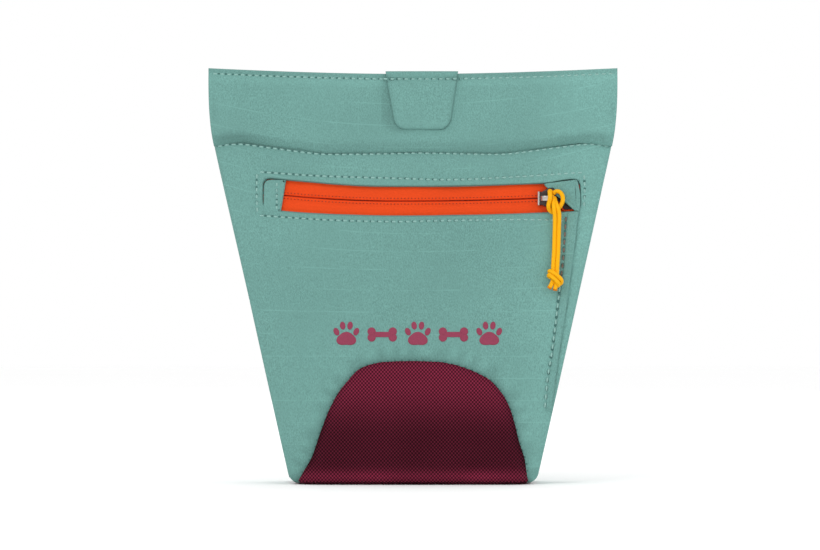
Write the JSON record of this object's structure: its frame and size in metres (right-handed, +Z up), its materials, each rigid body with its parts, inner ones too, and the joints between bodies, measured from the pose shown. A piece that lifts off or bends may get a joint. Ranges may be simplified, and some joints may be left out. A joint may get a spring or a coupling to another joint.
{
  "type": "treat pouch",
  "caption": "Soft tapered belt pouch for dog treats, with a magnetic gusseted mouth, a zipped front pocket with a corded pull, a grab tab, and a belt loop and spring clip at the back.",
  "frame": {"origin": "centre of the bounding box's underside, where the pouch stands on its base", "axes": "+Z up to the rim, the front with the zip faces -Y, +X to the right as seen from the front"},
  "size_m": [0.1802, 0.0611, 0.1823],
  "materials": {
    "teal_canvas": "ripstop canvas, matte",
    "burgundy_nylon": "coarse basket-weave nylon, matte",
    "orange_tape": "woven zip tape",
    "zip_coil": "nylon coil",
    "gunmetal": "dark plated, satin",
    "yellow_cord": "round braided cord",
    "grey_lining": "coated lining, satin",
    "black_steel": "black powder coat",
    "black_webbing": "flat woven webbing",
    "magnet_nickel": "nickel plated",
    "white_board": "thin polyethylene board"
  },
  "bodies": {
    "back": {"back_panel": "teal_canvas", "back_rim_band": "teal_canvas", "back_liner": "grey_lining", "back_stiffener": "white_board", "back_magnet_left": "magnet_nickel", "back_magnet_right": "magnet_nickel", "base_panel": "burgundy_nylon", "base_liner": "grey_lining", "belt_loop": "black_webbing", "clip_plate": "black_steel", "clip_rivet_left": "black_steel", "clip_rivet_right": "black_steel", "left_gusset_back": "teal_canvas", "right_gusset_back": "teal_canvas"},
    "front": {"front_panel": "teal_canvas", "front_rim_band": "teal_canvas", "front_liner": "grey_lining", "front_base_patch": "burgundy_nylon", "front_magnet_left": "magnet_nickel", "front_magnet_right": "magnet_nickel", "zip_tape_upper": "orange_tape", "zip_tape_lower": "orange_tape", "zip_coil_upper": "zip_coil", "zip_coil_lower": "zip_coil", "zip_end_tab": "teal_canvas", "zip_garage": "teal_canvas", "pocket_bag": "grey_lining", "side_welt": "teal_canvas", "left_gusset_front": "teal_canvas", "right_gusset_front": "teal_canvas"},
    "tab": {"grab_tab": "teal_canvas"},
    "slider": {"zip_slider": "gunmetal"},
    "pull": {"pull_cord": "yellow_cord", "pull_knot": "yellow_cord"},
    "clip_spring": {"clip_tongue": "black_steel"}
  },
  "joints": [
    {"name": "mouth_open", "type": "hinge", "parent": "back", "child": "front", "pos_m": [0, -0.0294, 0.0021], "axis": [1, 0, 0], "range_deg": [0, 22]},
    {"name": "tab_lift", "type": "hinge", "parent": "front", "child": "tab", "pos_m": [0.0039, 0.00081, 0.1807], "axis": [-1, 0, 0], "range_deg": [0, 150]},
    {"name": "zip_slide", "type": "slide", "parent": "front", "child": "slider", "axis": [1, 0, 0], "range_m": [-0.108, 0]},
    {"name": "pull_swing", "type": "hinge", "parent": "slider", "child": "pull", "pos_m": [0.0584, -0.01707, 0.1244], "axis": [-1, 0, 0], "range_deg": [0, 150]},
    {"name": "clip_flex", "type": "hinge", "parent": "back", "child": "clip_spring", "pos_m": [0, 0.01927, 0.1406], "axis": [1, 0, 0], "range_deg": [0, 12], "stiffness_Nm_per_rad": 0.6}
  ]
}
